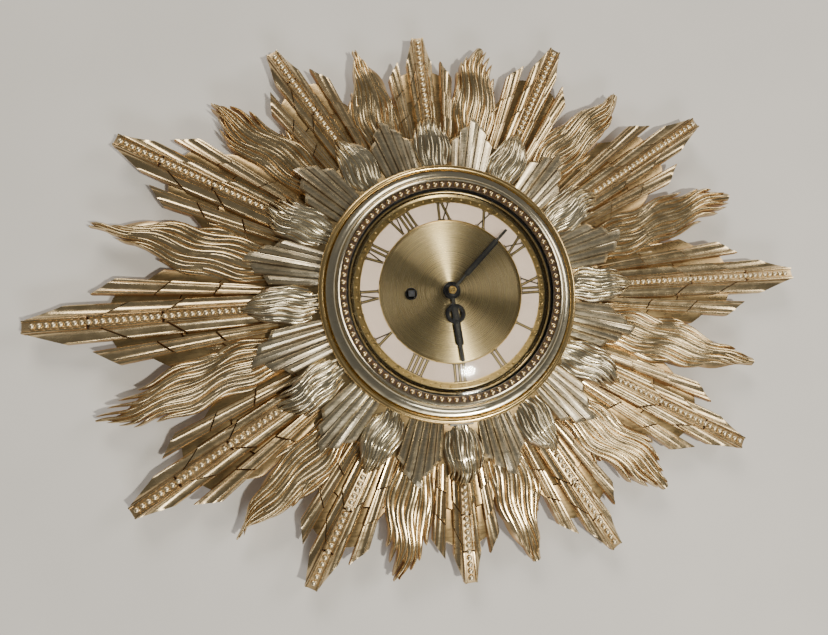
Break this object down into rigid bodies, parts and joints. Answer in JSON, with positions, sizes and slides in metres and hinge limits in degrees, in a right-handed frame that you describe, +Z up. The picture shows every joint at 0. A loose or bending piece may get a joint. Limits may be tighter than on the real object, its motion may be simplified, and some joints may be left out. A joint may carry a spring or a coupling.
{
  "type": "sunburst wall clock",
  "caption": "Wall clock with a gilt sunburst of beaded rays and curling flames, a hinged bezel with domed glass, Roman dial, black hands and a key-wound lever movement.",
  "frame": {"origin": "on the wall plane behind the dial's centre, on the flat back of the rear cover", "axes": "+Y into the wall, +Z up towards XII, +X towards III; the dial faces -Y"},
  "size_m": [0.3944, 0.0523, 0.559],
  "materials": {
    "gold_leaf": "satin champagne-gold leaf with an amber wash in the recesses",
    "pale_leaf": "satin silver-gold leaf",
    "bezel_silver": "polished silver-gold",
    "brass": "brushed and lacquered",
    "steel": "plain steel",
    "enamel": "off-white enamel with dark gold numerals",
    "black_paint": "semi-gloss black",
    "glass": "clear, domed",
    "painted_back": "dark brown paint"
  },
  "bodies": {
    "case": {"outer_sunburst": "gold_leaf", "inner_sunburst": "pale_leaf", "case_screw_1": "steel", "case_screw_2": "steel", "case_screw_3": "steel", "case_screw_4": "steel", "dial_pan": "brass", "pan_screw_1": "brass", "pan_screw_2": "brass", "pan_screw_3": "brass", "pan_screw_4": "brass", "chapter_ring": "enamel", "winding_grommet": "black_paint", "dial_foot_1": "brass", "dial_foot_2": "brass", "dial_foot_3": "brass", "front_plate": "brass", "back_plate": "brass", "pillar_1": "brass", "pillar_2": "brass", "pillar_3": "brass", "pillar_4": "brass", "mainspring": "steel", "balance_spring": "steel", "balance_cock": "brass", "rear_cover": "painted_back", "cover_screw_1": "steel", "cover_screw_2": "steel", "cover_screw_3": "steel", "cover_screw_4": "steel", "hanger_plate": "steel", "hanger_screw_1": "steel", "hanger_screw_2": "steel", "hinge_leaf": "steel", "hinge_pin": "steel"},
    "glass_door": {"bezel_ring": "bezel_silver", "bead_ring": "bezel_silver", "door_glass": "glass", "glass_retainer": "steel", "door_leaf": "steel"},
    "minute_train": {"centre_wheel": "brass", "cannon_pinion": "brass", "minute_hand": "black_paint", "hand_nut": "brass"},
    "hour_train": {"hour_wheel": "brass", "hour_hand": "black_paint"},
    "motion_wheel": {"minute_wheel": "brass"},
    "great_train": {"great_wheel": "brass"},
    "click": {"click": "steel"},
    "winding": {"winding_arbor": "steel", "ratchet_wheel": "steel"},
    "third": {"third_wheel": "brass"},
    "fourth": {"fourth_wheel": "brass"},
    "escape": {"escape_wheel": "steel"},
    "lever": {"pallet_lever": "steel"},
    "balance": {"balance_wheel": "brass"}
  },
  "joints": [
    {"name": "door_hinge", "type": "hinge", "parent": "case", "child": "glass_door", "pos_m": [0.0888, -0.0326, 0], "axis": [0, 0, 1], "range_deg": [0, 90]},
    {"name": "minute_spin", "type": "hinge", "parent": "case", "child": "minute_train", "pos_m": [0, -0.03, 0], "axis": [0, 1, 0], "continuous": true},
    {"name": "hour_spin", "type": "hinge", "parent": "case", "child": "hour_train", "pos_m": [0, -0.04, 0], "axis": [0, 1, 0], "continuous": true},
    {"name": "motion_spin", "type": "hinge", "parent": "case", "child": "motion_wheel", "pos_m": [-0.012, -0.036, 0], "axis": [0, 1, 0], "continuous": true},
    {"name": "great_spin", "type": "hinge", "parent": "case", "child": "great_train", "pos_m": [0, -0.014, -0.0273], "axis": [0, 1, 0], "continuous": true},
    {"name": "winding_turn", "type": "hinge", "parent": "great_train", "child": "winding", "pos_m": [0, -0.016, -0.0273], "axis": [0, 1, 0], "continuous": true},
    {"name": "click_pivot", "type": "hinge", "parent": "great_train", "child": "click", "pos_m": [0.012, -0.01585, -0.0273], "axis": [0, 1, 0], "range_deg": [-15.5, 1]},
    {"name": "third_spin", "type": "hinge", "parent": "case", "child": "third", "pos_m": [0.01379, -0.02, 0.01157], "axis": [0, 1, 0], "continuous": true},
    {"name": "fourth_spin", "type": "hinge", "parent": "case", "child": "fourth", "pos_m": [0.0008, -0.016, 0.01907], "axis": [0, 1, 0], "continuous": true},
    {"name": "escape_spin", "type": "hinge", "parent": "case", "child": "escape", "pos_m": [-0.0106, -0.019, 0.0215], "axis": [0, 1, 0], "continuous": true},
    {"name": "lever_rock", "type": "hinge", "parent": "case", "child": "lever", "pos_m": [-0.02, -0.019, 0.0185], "axis": [0, 1, 0], "range_deg": [-3, 3]},
    {"name": "balance_swing", "type": "hinge", "parent": "case", "child": "balance", "pos_m": [-0.031, -0.022, 0.015], "axis": [0, 1, 0], "range_deg": [-220, 220]}
  ],
  "couplings": [
    {"joint": "hour_spin", "follows": "minute_spin", "ratio": 0.083333},
    {"joint": "motion_spin", "follows": "minute_spin", "ratio": -0.33333},
    {"joint": "great_spin", "follows": "minute_spin", "ratio": -0.15385},
    {"joint": "third_spin", "follows": "minute_spin", "ratio": -6},
    {"joint": "fourth_spin", "follows": "minute_spin", "ratio": 36}
  ]
}
